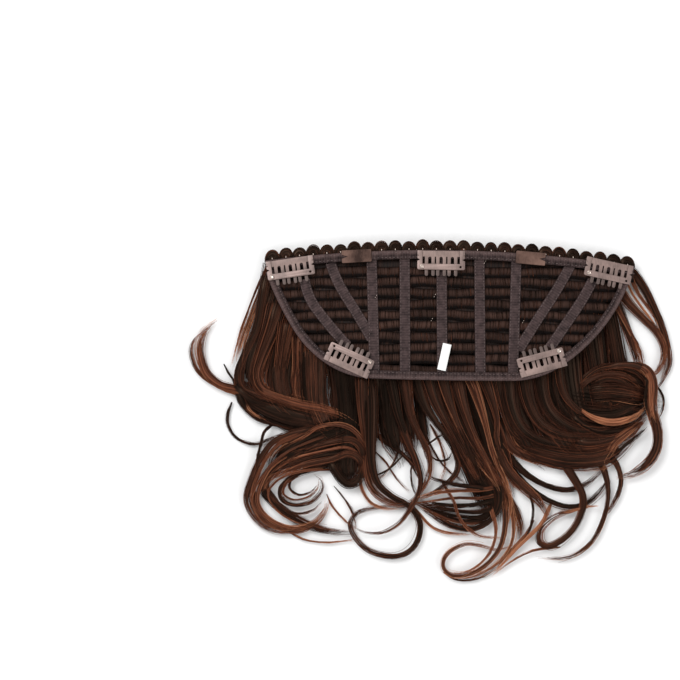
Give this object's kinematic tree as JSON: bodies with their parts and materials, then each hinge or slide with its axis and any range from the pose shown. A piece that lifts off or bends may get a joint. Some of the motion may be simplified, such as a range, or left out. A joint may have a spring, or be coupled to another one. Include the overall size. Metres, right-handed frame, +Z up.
{
  "type": "clip-in hairpiece",
  "caption": "Clip-in hairpiece lying inside up: half-moon base of hair wefts and tapes with comb clips, a looped top edge and long curled hair spread below it.",
  "frame": {"origin": "under the middle of the whole piece, on the surface that it lies on", "axes": "+X along the looped edge, +Y from the curls towards the looped edge, +Z up"},
  "size_m": [0.3272, 0.2348, 0.0252],
  "materials": {
    "hair": "glossy brown hair with auburn strands",
    "weft": "dark sewn hair",
    "tape": "matt woven tape",
    "binding": "matt woven binding",
    "loop": "wrapped hair cord",
    "clip": "satin rosy brown lacquer",
    "rivet": "worn bright",
    "tab": "matt tan tape",
    "label": "plain white woven"
  },
  "bodies": {
    "base": {"hair": "hair", "weft_01": "weft", "weft_02": "weft", "weft_03": "weft", "weft_04": "weft", "weft_05": "weft", "weft_06": "weft", "weft_07": "weft", "weft_08": "weft", "weft_09": "weft", "weft_10": "weft", "tape_1": "tape", "tape_2": "tape", "tape_3": "tape", "tape_4": "tape", "tape_5": "tape", "outer_left_tape": "tape", "inner_left_tape": "tape", "inner_right_tape": "tape", "outer_right_tape": "tape", "top_band": "binding", "edge_binding": "binding", "loop_edge": "loop", "left_tab": "tab", "right_tab": "tab", "label": "label", "top_left_comb": "clip", "top_middle_comb": "clip", "top_right_comb": "clip", "lower_left_comb": "clip", "lower_right_comb": "clip"},
    "top_left_clip_lever": {"top_left_lever": "clip", "top_left_rivet": "rivet"},
    "top_middle_clip_lever": {"top_middle_lever": "clip", "top_middle_rivet": "rivet"},
    "top_right_clip_lever": {"top_right_lever": "clip", "top_right_rivet": "rivet"},
    "lower_left_clip_lever": {"lower_left_lever": "clip", "lower_left_rivet": "rivet"},
    "lower_right_clip_lever": {"lower_right_lever": "clip", "lower_right_rivet": "rivet"}
  },
  "joints": [
    {"name": "top_left_snap", "type": "hinge", "parent": "base", "child": "top_left_clip_lever", "pos_m": [-0.09551, 0.10254, 0.01212], "axis": [-0.9889, -0.1438, -0.0365], "range_deg": [0, 35]},
    {"name": "top_middle_snap", "type": "hinge", "parent": "base", "child": "top_middle_clip_lever", "pos_m": [0.00685, 0.10761, 0.01449], "axis": [-0.9998, 0.0168, -0.0053], "range_deg": [0, 35]},
    {"name": "top_right_snap", "type": "hinge", "parent": "base", "child": "top_right_clip_lever", "pos_m": [0.12083, 0.10066, 0.01239], "axis": [-0.977, 0.2113, 0.0269], "range_deg": [0, 35]},
    {"name": "lower_left_snap", "type": "hinge", "parent": "base", "child": "lower_left_clip_lever", "pos_m": [-0.05783, 0.0283, 0.0231], "axis": [0.9066, -0.4137, 0.0831], "range_deg": [0, 35]},
    {"name": "lower_right_snap", "type": "hinge", "parent": "base", "child": "lower_right_clip_lever", "pos_m": [0.07514, 0.02642, 0.02362], "axis": [0.9659, 0.2517, -0.0613], "range_deg": [0, 35]}
  ]
}
